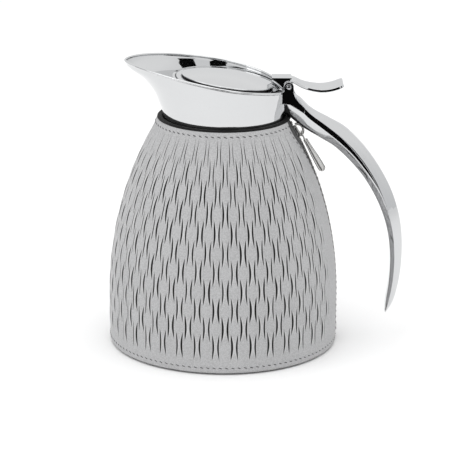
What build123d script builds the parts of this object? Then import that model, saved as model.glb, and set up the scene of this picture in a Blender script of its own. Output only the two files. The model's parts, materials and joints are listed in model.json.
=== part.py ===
from build123d import *
from math import asin, cos, degrees, pi, radians, sin, sqrt
import os

# Vacuum-insulated serving pitcher with a zipped leather jacket.
# Origin: centre of the base on the table. +Z up, the spout points to -X, the handle to +X. Millimetres.

# Body: every layer of the jacket and the flask is an offset of one side curve, a straight
# foot that runs into a single large arc.
BODY_R = 75.0            # outside radius of the leather at the foot
SIDE_ARC_R = 230.0       # radius of the arc that draws the side in
SIDE_ARC_Z = 32.0        # height where the straight foot ends and the arc starts
JACKET_TOP_Z = 151.0     # top edge of the leather
JACKET_BOTTOM_Z = 1.2    # bottom edge of the leather

# Jacket layers
LEATHER_T = 1.4
PADDING_T = 0.5
LINING_T = 0.8
LAYER_GAP = 0.05         # free gap between sewn layers
JACKET_EASE = 0.6        # free gap between the lining and the steel shell
BINDING_T = 1.4          # edge binding round the neck
BINDING_TOP_Z = 152.4

# Flask
SHELL_T = 0.8            # outer steel shell
INNER_T = 0.8            # inner steel flask
VACUUM_GAP = 4.8         # between the two steel walls
MOUTH_R = 30.2           # inside radius of the flask's mouth
SHOULDER_Z = 142.0       # where the outer shell turns in to its neck
INNER_SHOULDER_Z = 128.0
INNER_NECK_Z = 137.0
FLASK_TOP_Z = 149.0      # welded lip of the two steel walls
BASE_Z = 3.6             # underside of the steel base
INNER_FLOOR_Z = 11.0
GETTER_R = 6.0
GETTER_H = 2.0

# Foot
FOOT_H = 1.5
FOOT_R_IN = 58.0
FOOT_R_OUT = 67.0
FOOT_SHOW = 1.0          # how far the foot ring stands below the base cap

# Pouring head
NECK_R = 39.4            # outside radius of the head's skirt
HEAD_T = 1.0             # sheet thickness
SKIRT_Z = 144.6          # lower edge of the skirt
HEAD_Z = 152.8           # where the head starts to flare
SPOUT_REACH = 64.3       # spout lip, measured from the axis
RIM_HALF_WIDTH = 45.0
RIM_BACK = 38.6
RIM_TOP_Z = 187.3
RIM_BACK_Z = 169.2
FIT_GAP = 0.3            # general clearance between assembled pieces

# Lid, a tilted oval dome set into the head
LID_X = 2.6              # centre of the lid
LID_Z = 173.6            # height of the lid's edge plane at its centre
LID_TILT = 8.2           # degrees, high towards the spout
LID_A = 33.8             # half length towards the spout
LID_B = 38.5             # half width
DOME_H = 6.4
DOME_T = 0.8
PLATE_T = 2.4
SEAL_T = 1.8
SEAL_GAP = 0.1
FUNNEL_T = 1.8

# Hinge, bracket and thumb lever
PIN_X = 41.4
PIN_Z = 172.0
PIN_R = 1.5
PIN_CLEAR = 0.05
PIN_HEAD_R = 1.9
BRACKET_W = 12.0
BRACKET_T = 1.2
BRACKET_FRONT_X = 30.6
BRACKET_TOP_Z = 177.2
LUG_R = 2.9
LEVER_END_X = 76.0
LEVER_END_Z = 174.4
LEVER_LOW_X = 62.5
LEVER_LOW_Z = 170.6
LEVER_T = 1.6
LEVER_W = 22.0
SPRING_WIRE = 0.7
SPRING_R = 2.4
SPRING_TURNS = 3.5

# Handle
EAR_T = 2.2
EAR_GAP = 0.3            # between a bracket cheek and an ear
EAR_R = 3.1
HANDLE_W = 17.0
SCREW_R = 2.0
SCREW_HEAD_R = 2.5
SCREW_HEAD_T = 2.2
SCREW_HEIGHTS = (154.2, 159.4)

# Zip
ZIP_SLOT = 8.4           # opening between the leather edges
TAPE_W = 9.0             # each tape, from the centre line
TEETH_PITCH = 2.5
TEETH_W = 2.4            # reach of a tooth from the centre line
ZIP_LOW_Z = 12.0
SLIDER_Z = 141.5         # slider centre, zip closed
SLIDER_LOW_Z = 38.0      # lowest slider centre, so the tab clears the zip box
SLIDER_L = 8.4
SLIDER_W = 7.0
LINK_L = 6.4
LINK_WIRE = 0.4
LINK_HALF = 2.2
TAB_L = 24.4
TAB_W = 4.8
TAB_T = 1.3
TAB_ANGLE = 26.6         # from the vertical, at rest
LINK_ANGLE = 23.0

# ---- derived places ----
ARC_X = BODY_R - SIDE_ARC_R
PADDING_D = LEATHER_T + LAYER_GAP
LINING_D = PADDING_D + PADDING_T + LAYER_GAP
SHELL_D = LINING_D + LINING_T + JACKET_EASE
INNER_D = SHELL_D + SHELL_T + VACUUM_GAP
NECK_IN_R = NECK_R - HEAD_T - FIT_GAP / 3
BRACKET_HALF = BRACKET_W / 2
EAR_IN = BRACKET_HALF + EAR_GAP
EAR_OUT = EAR_IN + EAR_T


def side_r(depth, z):
    """Radius of the side curve, a given depth under the leather's outside."""
    if z <= SIDE_ARC_Z:
        return BODY_R - depth
    return ARC_X + sqrt((SIDE_ARC_R - depth) ** 2 - (z - SIDE_ARC_Z) ** 2)


def side_point(depth, z):
    return (side_r(depth, z), 0, z)


def side_edges(depth, z_low, z_high):
    """The side curve as edges, from low to high."""
    middle = SIDE_ARC_Z + (z_high - SIDE_ARC_Z) * 0.55
    start = side_point(depth, SIDE_ARC_Z)
    return [
        Line((BODY_R - depth, 0, z_low), start),
        ThreePointArc(start, side_point(depth, middle), side_point(depth, z_high)),
    ]


def revolve_edges(edges):
    return revolve(Face(Wire(edges)), Axis.Z, 360)


def side_layer(depth, thickness, z_low, z_high):
    """A shell that follows the side between two depths."""
    outer = side_edges(depth, z_low, z_high)
    inner = side_edges(depth + thickness, z_low, z_high)
    closing = [
        Line(outer[0] @ 0, inner[0] @ 0),
        Line(outer[1] @ 1, inner[1] @ 1),
    ]
    return revolve_edges(outer + inner + closing)


def ring(r_out, r_in, z_low, z_high):
    height = z_high - z_low
    centre = (0, 0, (z_low + z_high) / 2)
    return Pos(*centre) * (Cylinder(r_out, height) - Cylinder(r_in, height + 1))


def back_block(half_width, z_low, z_high, x_low=20.0):
    """A block over the zip at the back of the jacket, used to cut the layers there."""
    length = BODY_R + 10 - x_low
    centre = (x_low + length / 2, 0, (z_low + z_high) / 2)
    return Pos(*centre) * Box(length, 2 * half_width, z_high - z_low)


def drilled_y(x, z, radius, length):
    """A cylinder along Y through a point of the hinge plane."""
    return Pos(x, 0, z) * Rot(90, 0, 0) * Cylinder(radius, length)


def save(name, shape):
    solids = shape if isinstance(shape, list) else list(shape.solids())
    export_step(solids[0] if len(solids) == 1 else Compound(solids), f"parts/{name}.step")


# ---- flask ----
def make_inner_flask():
    """Steel flask with a narrow mouth; its lip is welded to the outer shell's neck."""
    def profile(depth, floor, neck_r, shoulder, neck_z, top):
        foot_r = BODY_R - depth
        side = side_edges(depth, floor + 5, shoulder)
        return [
            Line((0, 0, floor), (foot_r - 5, 0, floor)),
            ThreePointArc((foot_r - 5, 0, floor), (foot_r - 1.5, 0, floor + 1.5), (foot_r, 0, floor + 5)),
            *side,
            Line(side[1] @ 1, (neck_r, 0, neck_z)),
            Line((neck_r, 0, neck_z), (neck_r, 0, top)),
            Line((neck_r, 0, top), (0, 0, top)),
            Line((0, 0, top), (0, 0, floor)),
        ]

    outer = revolve_edges(profile(INNER_D, INNER_FLOOR_Z, MOUTH_R + INNER_T, INNER_SHOULDER_Z,
                                  INNER_NECK_Z, FLASK_TOP_Z))
    hollow = revolve_edges(profile(INNER_D + INNER_T, INNER_FLOOR_Z + INNER_T, MOUTH_R,
                                   INNER_SHOULDER_Z - INNER_T / 2, INNER_NECK_Z - INNER_T / 2,
                                   FLASK_TOP_Z + 1))
    lip = ring(NECK_IN_R, MOUTH_R, FLASK_TOP_Z - INNER_T, FLASK_TOP_Z)
    return outer + lip - hollow


def make_outer_shell():
    body = side_layer(SHELL_D, SHELL_T, BASE_Z, SHOULDER_Z)
    shoulder = ring(side_r(SHELL_D, SHOULDER_Z), NECK_IN_R - SHELL_T, SHOULDER_Z, SHOULDER_Z + SHELL_T)
    neck = ring(NECK_IN_R, NECK_IN_R - SHELL_T, SHOULDER_Z, FLASK_TOP_Z - INNER_T)
    return body + shoulder + neck


def make_base_plate():
    radius = BODY_R - SHELL_D - SHELL_T - FIT_GAP / 3
    return Pos(0, 0, BASE_Z + SHELL_T / 2) * Cylinder(radius, SHELL_T)


def make_getter():
    low = BASE_Z + SHELL_T
    pill = Pos(0, 0, low + GETTER_H / 2) * Cylinder(GETTER_R, GETTER_H)
    return fillet(pill.edges().sort_by(Axis.Z)[-1], 0.6)


def make_base_cap():
    """Moulded cap under the steel base, grooved for the foot ring."""
    low, high = FOOT_SHOW, BASE_Z - LAYER_GAP
    disc = Pos(0, 0, (low + high) / 2) * Cylinder(BODY_R - SHELL_D, high - low)
    disc = chamfer(disc.edges().sort_by(Axis.Z)[0], 0.6)
    return disc - ring(FOOT_R_OUT + LAYER_GAP, FOOT_R_IN - LAYER_GAP, low - 1, FOOT_H + LAYER_GAP)


def make_foot_ring():
    foot = ring(FOOT_R_OUT, FOOT_R_IN, 0, FOOT_H)
    return fillet(foot.edges().group_by(Axis.Z)[0], 0.5)


# ---- pouring head ----
# height: spout reach, back, half width and centre as shares between the neck and the rim
HEAD_FORM = [
    (HEAD_Z, 0.0, 0.0),
    (160.0, 0.093, 0.22),
    (170.0, 0.281, 0.50),
    (178.0, 0.574, 0.76),
    (184.0, 0.916, 0.92),
    (189.0, 1.0, 1.0),
]


def head_section(z, reach_share, width_share, inset):
    """Egg-shaped section: half an oval at the back and a tapered lip towards the spout."""
    centre = -3.0 * width_share
    reach = NECK_R + (SPOUT_REACH - NECK_R) * reach_share + centre - inset
    back = NECK_R + (RIM_BACK - NECK_R) * width_share - centre - inset
    half = NECK_R + (RIM_HALF_WIDTH - NECK_R) * width_share - inset
    taper = 2.0 - 0.4 * reach_share
    power = 0.5 + 0.1 * reach_share
    points = []
    steps = 12
    for i in range(2 * steps):
        angle = pi * i / steps + pi / 2
        along, across = cos(angle), sin(angle)
        if along >= 0:
            points.append((centre + back * along, half * across, z))
        else:
            share = (-along) ** (2 / taper)
            width = (1 - share ** taper) ** power
            points.append((centre - reach * share, half * width * (1 if across > 0 else -1), z))
    points = [(x, 0.0 if abs(y) < 1e-6 else y, zz) for x, y, zz in points]
    return Face(Wire([Spline(*points, periodic=True)]))


def head_solid(inset, low=SKIRT_Z):
    """Filled form of the head at an inset: the flare on top of its round skirt."""
    flare = loft([head_section(z, reach, width, inset) for z, reach, width in HEAD_FORM])
    skirt = extrude(head_section(HEAD_Z, 0, 0, inset), HEAD_Z - low, dir=(0, 0, -1))
    return flare + skirt


def rim_cutter():
    """Everything above the rim, which falls in one sweep from the spout lip to the hinge."""
    low_side = Spline((-SPOUT_REACH - 8, 0, RIM_TOP_Z + 0.4), (-30.0, 0, 183.0), (0.0, 0, 177.9),
                      (24.0, 0, 173.2), (RIM_BACK, 0, RIM_BACK_Z), (RIM_BACK + 8, 0, RIM_BACK_Z - 2.6))
    start, end, top = low_side @ 0, low_side @ 1, RIM_TOP_Z + 20
    edges = [low_side, Line(end, (end.X, 0, top)), Line((end.X, 0, top), (start.X, 0, top)),
             Line((start.X, 0, top), start)]
    return extrude(Face(Wire(edges)), 70, dir=(0, 1, 0), both=True)


def lid_place(z_offset=0.0):
    """Placement of a piece drawn flat about the lid's own centre."""
    return Pos(LID_X, 0, LID_Z) * Rot(0, LID_TILT, 0) * Pos(0, 0, z_offset)


def oval(a_half, height, z_low):
    """Oval disc in the lid's own frame; the width follows the lid's proportion."""
    disc = Cylinder(a_half, height, align=(Align.CENTER, Align.CENTER, Align.MIN))
    return Pos(0, 0, z_low) * scale(disc, by=(1, LID_B / LID_A, 1))


SEAT_Z = -(PLATE_T + SEAL_T + SEAL_GAP + 0.2)      # seat height in the lid's own frame


def screw_hole(z, radius, length):
    """Cylinder along X through the back of the head at a handle screw."""
    return Pos(NECK_R, 0, z) * Rot(0, 90, 0) * Cylinder(radius, length)


def make_spout_head(outer, cutter):
    head = outer - head_solid(HEAD_T, SKIRT_Z - 1) - cutter
    for z in SCREW_HEIGHTS:
        head -= screw_hole(z, SCREW_R, 8)
    return head


def make_pour_funnel():
    """Steel funnel inside the head: seat for the lid seal, and the floor of the spout."""
    wide = 200
    floor = lid_place(SEAT_Z - FUNNEL_T / 2) * Box(wide, wide, FUNNEL_T)
    inside = head_solid(HEAD_T + FIT_GAP)
    low = FLASK_TOP_Z + LAYER_GAP
    tube = Pos(0, 0, low + 20) * Cylinder(MOUTH_R + FUNNEL_T, 40)
    above = lid_place(SEAT_Z + 30) * Box(wide, wide, 60)
    collar = lid_place() * (oval(LID_A + 2.2, -SEAT_Z, SEAT_Z - 1) - oval(LID_A + 0.6, 20, SEAT_Z - 3))
    funnel = (inside & floor) + (tube - above) + (inside & collar)
    return funnel - Pos(0, 0, 160) * Cylinder(MOUTH_R + FIT_GAP, 60)


# ---- handle ----
# Stations down the handle: middle x, middle z, lean of the section from upright, thickness, width share
HANDLE_STATIONS = [
    (34.0, 162.5, 12.0, 13.0, 1.00),
    (44.0, 158.4, 25.0, 13.6, 1.00),
    (54.0, 150.2, 30.0, 12.6, 1.00),
    (64.1, 144.4, 31.0, 13.2, 1.00),
    (74.2, 138.5, 35.0, 13.6, 0.98),
    (84.4, 129.2, 46.0, 13.2, 0.96),
    (95.4, 115.4, 58.0, 12.2, 0.93),
    (104.8, 98.6, 68.0, 11.2, 0.90),
    (111.2, 78.6, 78.0, 9.6, 0.87),
    (113.2, 58.0, 90.0, 8.0, 0.84),
    (112.0, 39.0, 98.0, 6.6, 0.78),
    (109.0, 24.0, 106.0, 4.2, 0.66),
]
HANDLE_TIP = (107.4, 18.8, 112.0, 1.6, 0.50)


def handle_section(x, z, lean, thickness, share):
    """Eight-sided section: broad outer face, upright side facets, narrower inner face."""
    half_w, half_t = HANDLE_W / 2 * share, thickness / 2
    corners = [
        (half_t, 0.80 * half_w), (0.35 * half_t, half_w), (-0.25 * half_t, half_w),
        (-half_t, 0.45 * half_w), (-half_t, -0.45 * half_w), (-0.25 * half_t, -half_w),
        (0.35 * half_t, -half_w), (half_t, -0.80 * half_w),
    ]
    out_x, out_z = sin(radians(lean)), cos(radians(lean))
    points = [(x + out_x * up, side, z + out_z * up) for up, side in corners]
    return Face(Wire(Polyline(*points, close=True).edges()))


def make_handle(head_outer):
    grip = loft([handle_section(*row) for row in HANDLE_STATIONS + [HANDLE_TIP]])
    ears = []
    for side in (-1, 1):
        y = side * (EAR_IN + EAR_T / 2)
        plate = Pos(PIN_X, y, (PIN_Z + 158) / 2) * Box(2 * EAR_R, EAR_T, PIN_Z - 158)
        tip = Pos(PIN_X, y, PIN_Z) * Rot(90, 0, 0) * Cylinder(EAR_R, EAR_T)
        ears.append(plate + tip)
    crown = Pos(PIN_X + 2, 0, 182.5) * Box(20, 2 * EAR_IN, 30)
    handle = (grip - crown + ears[0] + ears[1]) - head_outer
    handle -= drilled_y(PIN_X, PIN_Z, PIN_R + PIN_CLEAR, 40)
    for z in SCREW_HEIGHTS:
        handle -= screw_hole(z, SCREW_R, 15)
    return max(handle.solids(), key=lambda s: s.volume)


def make_handle_screws():
    """Pan-head screws put in from inside the head."""
    screws = []
    for z in SCREW_HEIGHTS:
        shank = Pos(NECK_R + 1.5, 0, z) * Rot(0, 90, 0) * Cylinder(SCREW_R - LAYER_GAP, 10.6)
        seat = sqrt((NECK_R - HEAD_T) ** 2 - SCREW_HEAD_R ** 2) - 2 * FIT_GAP
        head = Pos(seat - SCREW_HEAD_T / 2, 0, z) * Rot(0, 90, 0) * Cylinder(SCREW_HEAD_R, SCREW_HEAD_T)
        screws.append((shank + head).solids()[0])
    return screws


# ---- lid ----
def dome_solid(a_half, height):
    """Shallow oval cap, flat below, from one ball."""
    ball_r = (a_half ** 2 + height ** 2) / (2 * height)
    ball = Pos(0, 0, height - ball_r) * Sphere(ball_r)
    cap = ball & (Pos(0, 0, 30) * Box(200, 200, 60))
    return scale(cap, by=(1, LID_B / LID_A, 1))


def make_lid_dome():
    outer = dome_solid(LID_A, DOME_H)
    inner = dome_solid(LID_A - 2.4, DOME_H - DOME_T)
    return lid_place() * (outer - inner)


def make_lid_plate():
    """Moulded disc that closes the dome from below and carries the seal."""
    plate = oval(LID_A - 1.2, PLATE_T, -PLATE_T - LAYER_GAP)
    hub = Pos(0, 0, -PLATE_T - LAYER_GAP) * Cylinder(3.4, PLATE_T + DOME_H - DOME_T - 0.4,
                                                   align=(Align.CENTER, Align.CENTER, Align.MIN))
    plate = plate + hub - Pos(0, 0, -PLATE_T - 1) * Cylinder(1.5, 14)
    return lid_place() * plate


def make_lid_seal():
    low = SEAT_Z + SEAL_GAP
    seal = oval(LID_A - 1.6, SEAL_T, low) - oval(LID_A - 3.4, SEAL_T + 2, low - 1)
    return lid_place() * seal


def make_lid_screw():
    """Screw up into the plate's hub."""
    head = Pos(0, 0, -PLATE_T - LAYER_GAP - 1.6) * Cylinder(3.0, 1.5, align=(Align.CENTER, Align.CENTER, Align.MIN))
    shank = Pos(0, 0, -PLATE_T - 0.6) * Cylinder(1.45, 6.0, align=(Align.CENTER, Align.CENTER, Align.MIN))
    return lid_place() * (head + shank)


def make_bracket():
    """Folded steel bracket: flat top, two cheeks on the pin, and a foot on the dome's back."""
    back_x = PIN_X + LUG_R * 0.6
    top = Pos((BRACKET_FRONT_X + back_x) / 2, 0, BRACKET_TOP_Z - BRACKET_T / 2) * Box(
        back_x - BRACKET_FRONT_X, BRACKET_W, BRACKET_T)
    outline = Polyline(
        (BRACKET_FRONT_X, 0, BRACKET_TOP_Z - BRACKET_T / 2), (BRACKET_FRONT_X, 0, 169.0),
        (RIM_BACK - 1.6, 0, RIM_BACK_Z + 1.4), (PIN_X - 0.6, 0, RIM_BACK_Z + 1.6),
        (PIN_X + LUG_R - 0.3, 0, PIN_Z), (back_x - 0.1, 0, PIN_Z + 2.0),
        (back_x - 0.1, 0, BRACKET_TOP_Z - BRACKET_T / 2), close=True)
    cheek = extrude(Face(Wire(outline.edges())), BRACKET_T, dir=(0, 1, 0))
    y_in = BRACKET_HALF - BRACKET_T
    foot = Pos(BRACKET_FRONT_X + 2.2, 0, 173.0) * Box(4.0, 2 * y_in + 1, 8.0)
    bracket = top + Pos(0, y_in, 0) * cheek + Pos(0, -BRACKET_HALF, 0) * cheek + foot
    lug = drilled_y(PIN_X, PIN_Z, LUG_R, BRACKET_W) - drilled_y(PIN_X, PIN_Z, LUG_R + 1, 2 * y_in)
    bracket = bracket + lug - drilled_y(PIN_X, PIN_Z, PIN_R + PIN_CLEAR, 40)
    under_dome = lid_place(-15) * Box(2 * LID_A + 1, 2 * LID_B, 30)
    return bracket - lid_place() * dome_solid(LID_A, DOME_H) - under_dome


def make_thumb_lever():
    """Curved plate from the bracket's top out over the handle, widening to the thumb."""
    start_x = PIN_X + LUG_R * 0.6 + LAYER_GAP
    curve = Spline((start_x, 0, BRACKET_TOP_Z - 0.4), (LEVER_LOW_X, 0, LEVER_LOW_Z), (LEVER_END_X, 0, LEVER_END_Z),
                   tangents=[(1, 0, -0.35), (1, 0, 0.28)])
    lower = Pos(0, 0, -LEVER_T) * curve
    edges = [curve, lower, Line(curve @ 0, lower @ 0), Line(curve @ 1, lower @ 1)]
    plate = extrude(Face(Wire(edges)), LEVER_W / 2, dir=(0, 1, 0), both=True)
    root = BRACKET_HALF
    side = root + 1.0
    outline = Polyline((start_x, -root, 160), (start_x + 6, -root, 160), (start_x + 14, -side - 1.5, 160),
                       (LEVER_END_X - 6, -LEVER_W / 2, 160), (LEVER_END_X, -LEVER_W / 2 + 3, 160),
                       (LEVER_END_X, LEVER_W / 2 - 3, 160), (LEVER_END_X - 6, LEVER_W / 2, 160),
                       (start_x + 14, side + 1.5, 160), (start_x + 6, root, 160), (start_x, root, 160),
                       close=True)
    return plate & extrude(Face(Wire(outline.edges())), 30, dir=(0, 0, 1))


def make_hinge_pin():
    head_t = 0.9
    pin = drilled_y(PIN_X, PIN_Z, PIN_R, 2 * EAR_OUT + head_t)
    for side in (-1, 1):
        y = side * (EAR_OUT + LAYER_GAP + head_t / 2)
        pin += Pos(PIN_X, y, PIN_Z) * Rot(90, 0, 0) * Cylinder(PIN_HEAD_R, head_t)
    return pin


def make_torsion_spring():
    """Coil round the pin that holds the lid shut, one leg under the bracket, one on the handle."""
    pitch = SPRING_WIRE * 1.25
    height = pitch * SPRING_TURNS
    helix = Helix(pitch, height, SPRING_R)
    wire = sweep(Plane(origin=helix @ 0, z_dir=helix % 0) * Circle(SPRING_WIRE / 2), path=helix, is_frenet=True)
    leg = Pos(0, 0, -0.4) * Cylinder(SPRING_WIRE / 2 + 0.03, 4.2, align=(Align.CENTER, Align.CENTER, Align.MIN))
    first = Pos(SPRING_R, 0, 0) * Rot(90, 0, 0) * leg
    last = Pos(-SPRING_R, 0, height) * Rot(90, 0, 0) * leg
    spring = Pos(0, 0, -height / 2) * (wire + first + last)
    return Pos(PIN_X, 0, PIN_Z) * Rot(0, -75, 0) * Rot(90, 0, 0) * spring


# ---- jacket ----
def zip_opening():
    """Cut in the leather for the zip: parallel, then flaring to a notch below the neck."""
    half = ZIP_SLOT / 2
    notch = Polyline((0, -half, -1), (0, half, -1), (0, half, 122), (0, half + 3.5, 134), (0, 10.5, 139),
                     (0, 12.6, 155), (0, -12.6, 155), (0, -10.5, 139), (0, -half - 3.5, 134), (0, -half, 122),
                     close=True)
    return Pos(20, 0, 0) * extrude(Face(Wire(notch.edges())), 70, dir=(1, 0, 0))


def make_leather():
    leather = side_layer(0, LEATHER_T, JACKET_BOTTOM_Z, JACKET_TOP_Z)
    clear = NECK_R + LAYER_GAP * 2 + BINDING_T + LAYER_GAP
    leather -= Pos(0, 0, JACKET_TOP_Z) * Cylinder(clear, 12)
    return leather - zip_opening()


def make_padding():
    padding = side_layer(PADDING_D, PADDING_T, JACKET_BOTTOM_Z + 1.5, JACKET_TOP_Z - 4.2)
    return padding - back_block(TAPE_W + LAYER_GAP * 4, -5, 160)


def make_lining():
    lining = side_layer(LINING_D, LINING_T, JACKET_BOTTOM_Z - 0.5, JACKET_TOP_Z - 3.8)
    return lining - back_block(SLIDER_W / 2 + 0.3, -5, 160)


def make_binding():
    r_in = NECK_R + LAYER_GAP * 2
    binding = ring(r_in + BINDING_T, r_in, JACKET_TOP_Z - 3.6, BINDING_TOP_Z)
    binding = fillet(binding.edges().group_by(Axis.Z)[-1], 0.5)
    return binding - back_block(TAPE_W + LAYER_GAP * 4, 140, 160)


# ---- zip ----
def on_zip(angle):
    """Plane on the leather's outside over the zip: local x is world Y, local y climbs the zip."""
    out = (cos(radians(angle)), 0, sin(radians(angle)))
    origin = (ARC_X + SIDE_ARC_R * out[0], 0, SIDE_ARC_Z + SIDE_ARC_R * out[2])
    return Plane(origin=origin, x_dir=(0, 1, 0), z_dir=out)


def zip_angle(z):
    return degrees(asin((z - SIDE_ARC_Z) / SIDE_ARC_R))


def zip_station(distance):
    """Plane at a distance up the zip from the end of the straight foot."""
    if distance <= 0:
        return Plane(origin=(BODY_R, 0, SIDE_ARC_Z + distance), x_dir=(0, 1, 0), z_dir=(1, 0, 0))
    return on_zip(degrees(distance / SIDE_ARC_R))


def block_on(plane, x, y, z):
    """Block on a zip plane, given as low and high values of its three local axes."""
    size = [b - a for a, b in (x, y, z)]
    middle = [(a + b) / 2 for a, b in (x, y, z)]
    return plane * Pos(*middle) * Box(*size)


def make_tape(side):
    tape = side_layer(PADDING_D, PADDING_T, JACKET_BOTTOM_Z + 1.5, JACKET_TOP_Z - 2.0)
    block = back_block(TAPE_W / 2 - 0.6, -5, 160)
    return tape & (Pos(0, side * (TAPE_W / 2 + 0.6), 0) * block)


def make_teeth(side):
    top = radians(zip_angle(SLIDER_Z)) * SIDE_ARC_R
    low = ZIP_LOW_Z - SIDE_ARC_Z + (0 if side > 0 else TEETH_PITCH / 2)
    count = int((top - low) / TEETH_PITCH)
    reach = sorted((side * TEETH_W, -side * 0.5))
    teeth = []
    for i in range(count):
        plane = zip_station(low + i * TEETH_PITCH)
        teeth.append(block_on(plane, reach, (-0.5, 0.5), (-PADDING_D, -0.25)).solids()[0])
    return teeth


def make_zip_box():
    """Metal box at the foot of the zip that stops the slider."""
    plane = zip_station(ZIP_LOW_Z - SIDE_ARC_Z - 3.6)
    return block_on(plane, (-3.0, 3.0), (-2.2, 2.2), (-PADDING_D, 0.1))


def make_top_stops():
    plane = zip_station(radians(zip_angle(SLIDER_Z)) * SIDE_ARC_R + SLIDER_L / 2 + 1.5)
    return [block_on(plane, sorted((s * 1.2, s * 3.0)), (-0.8, 0.8), (-PADDING_D, -0.3)).solids()[0]
            for s in (-1, 1)]


SLIDER_PLANE = on_zip(zip_angle(SLIDER_Z))
BAIL_R = 3.6
BAIL_SINK = 1.0          # the bail's arc is centred this far under the top plate
SLIDER_TOP = 1.15        # outside of the slider's top plate above the leather
LINK_BAR = (0, -1.9, 2.0)


def local_point(plane, point):
    return plane.from_local_coords(Vector(*point))


def make_slider():
    """Two plates joined by a post that parts the teeth, with a bail for the pull."""
    half = SLIDER_W / 2
    plates = []
    for low, high in ((0.35, SLIDER_TOP), (-PADDING_D - PADDING_T - 0.85, -PADDING_D - PADDING_T - 0.2)):
        outline = Polyline((-half, SLIDER_L / 2, low), (half, SLIDER_L / 2, low), (half - 0.5, -SLIDER_L / 2, low),
                           (-half + 0.5, -SLIDER_L / 2, low), close=True)
        plates.append(extrude(Face(Wire(outline.edges())), high - low, dir=(0, 0, 1)))
    post = Pos(0, SLIDER_L / 2 - 1.2, -0.9) * Box(1.0, 1.6, 3.2)
    cheeks = [Pos(s * (half - 0.5), -0.5, -0.1) * Box(0.4, SLIDER_L - 2.0, 1.2) for s in (-1, 1)]
    arch = Pos(0, 0, SLIDER_TOP - BAIL_SINK) * Rot(0, 90, 0) * Torus(BAIL_R, 0.5)
    arch = arch & Pos(0, 0, SLIDER_TOP + 5 - 0.2) * Box(10, 10, 10)
    return SLIDER_PLANE * (plates[0] + plates[1] + post + cheeks[0] + cheeks[1] + arch)


def hanging(angle):
    """Direction of a pull that hangs at an angle from the vertical, away from the jacket."""
    return (sin(radians(angle)), 0, -cos(radians(angle)))


LINK_TOP = local_point(SLIDER_PLANE, LINK_BAR)
LINK_END = LINK_TOP + Vector(*hanging(LINK_ANGLE)) * LINK_L


def make_pull_link():
    """Wire loop between the slider's bail and the pull tab."""
    frame = Plane(origin=LINK_TOP, x_dir=(0, 1, 0), z_dir=(cos(radians(LINK_ANGLE)), 0, sin(radians(LINK_ANGLE))))
    side = Rot(90, 0, 0) * Cylinder(LINK_WIRE, LINK_L)
    bar = Rot(0, 90, 0) * Cylinder(LINK_WIRE, 2 * LINK_HALF)
    ball = Sphere(LINK_WIRE)
    loop = None
    for s in (-1, 1):
        bits = [Pos(s * LINK_HALF, -LINK_L / 2, 0) * side, Pos(s * LINK_HALF, 0, 0) * ball,
                Pos(s * LINK_HALF, -LINK_L, 0) * ball]
        for bit in bits:
            loop = bit if loop is None else loop + bit
    loop = loop + bar + Pos(0, -LINK_L, 0) * bar
    return frame * loop


def make_pull_tab():
    """Flat rounded tab with a barrel that turns on the link's lower bar."""
    frame = Plane(origin=LINK_END, x_dir=(0, 1, 0), z_dir=(cos(radians(TAB_ANGLE)), 0, sin(radians(TAB_ANGLE))))
    neck = 2 * (LINK_HALF - LINK_WIRE) - 0.8
    barrel = Rot(0, 90, 0) * Cylinder(1.1, neck)
    stem = Pos(0, -2.0, 0) * Box(neck, 3.0, TAB_T)
    blade = Pos(0, -TAB_L / 2 - 0.9, 0) * Box(TAB_W, TAB_L - 1.8, TAB_T)
    blade = fillet(blade.edges().filter_by(Axis.Z), TAB_W / 2 - 0.1)
    bore = Rot(0, 90, 0) * Cylinder(LINK_WIRE + 0.08, 12)
    return frame * (barrel + stem + blade - bore)


os.makedirs("parts", exist_ok=True)

head_outer = head_solid(0.0)
cutter = rim_cutter()

save("inner_flask", make_inner_flask())
save("outer_shell", make_outer_shell())
save("base_plate", make_base_plate())
save("getter", make_getter())
save("base_cap", make_base_cap())
save("foot_ring", make_foot_ring())
save("spout_head", make_spout_head(head_outer, cutter))
save("pour_funnel", make_pour_funnel())
save("handle", make_handle(head_outer))
save("handle_screws", make_handle_screws())
save("lid_dome", make_lid_dome())
save("lid_plate", make_lid_plate())
save("lid_seal", make_lid_seal())
save("lid_screw", make_lid_screw())
save("hinge_bracket", make_bracket())
save("thumb_lever", make_thumb_lever())
save("hinge_pin", make_hinge_pin())
save("torsion_spring", make_torsion_spring())
save("leather_jacket", make_leather())
save("jacket_padding", make_padding())
save("jacket_lining", make_lining())
save("neck_binding", make_binding())
save("zip_tape_left", make_tape(1))
save("zip_tape_right", make_tape(-1))
save("zip_teeth_left", make_teeth(1))
save("zip_teeth_right", make_teeth(-1))
save("zip_top_stops", make_top_stops())
save("zip_box", make_zip_box())
save("zip_slider", make_slider())
save("zip_pull_link", make_pull_link())
save("zip_pull_tab", make_pull_tab())
print("lid pivot", (PIN_X, 0, PIN_Z), "zip centre", (ARC_X, 0, SIDE_ARC_Z))
print("zip travel, degrees", round(zip_angle(SLIDER_Z) - zip_angle(SLIDER_LOW_Z), 3))
print("link pivot", LINK_TOP, "tab pivot", LINK_END)
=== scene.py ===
import json
import math
import random

import bpy
import numpy as np
from mathutils import Matrix, Vector


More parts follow.
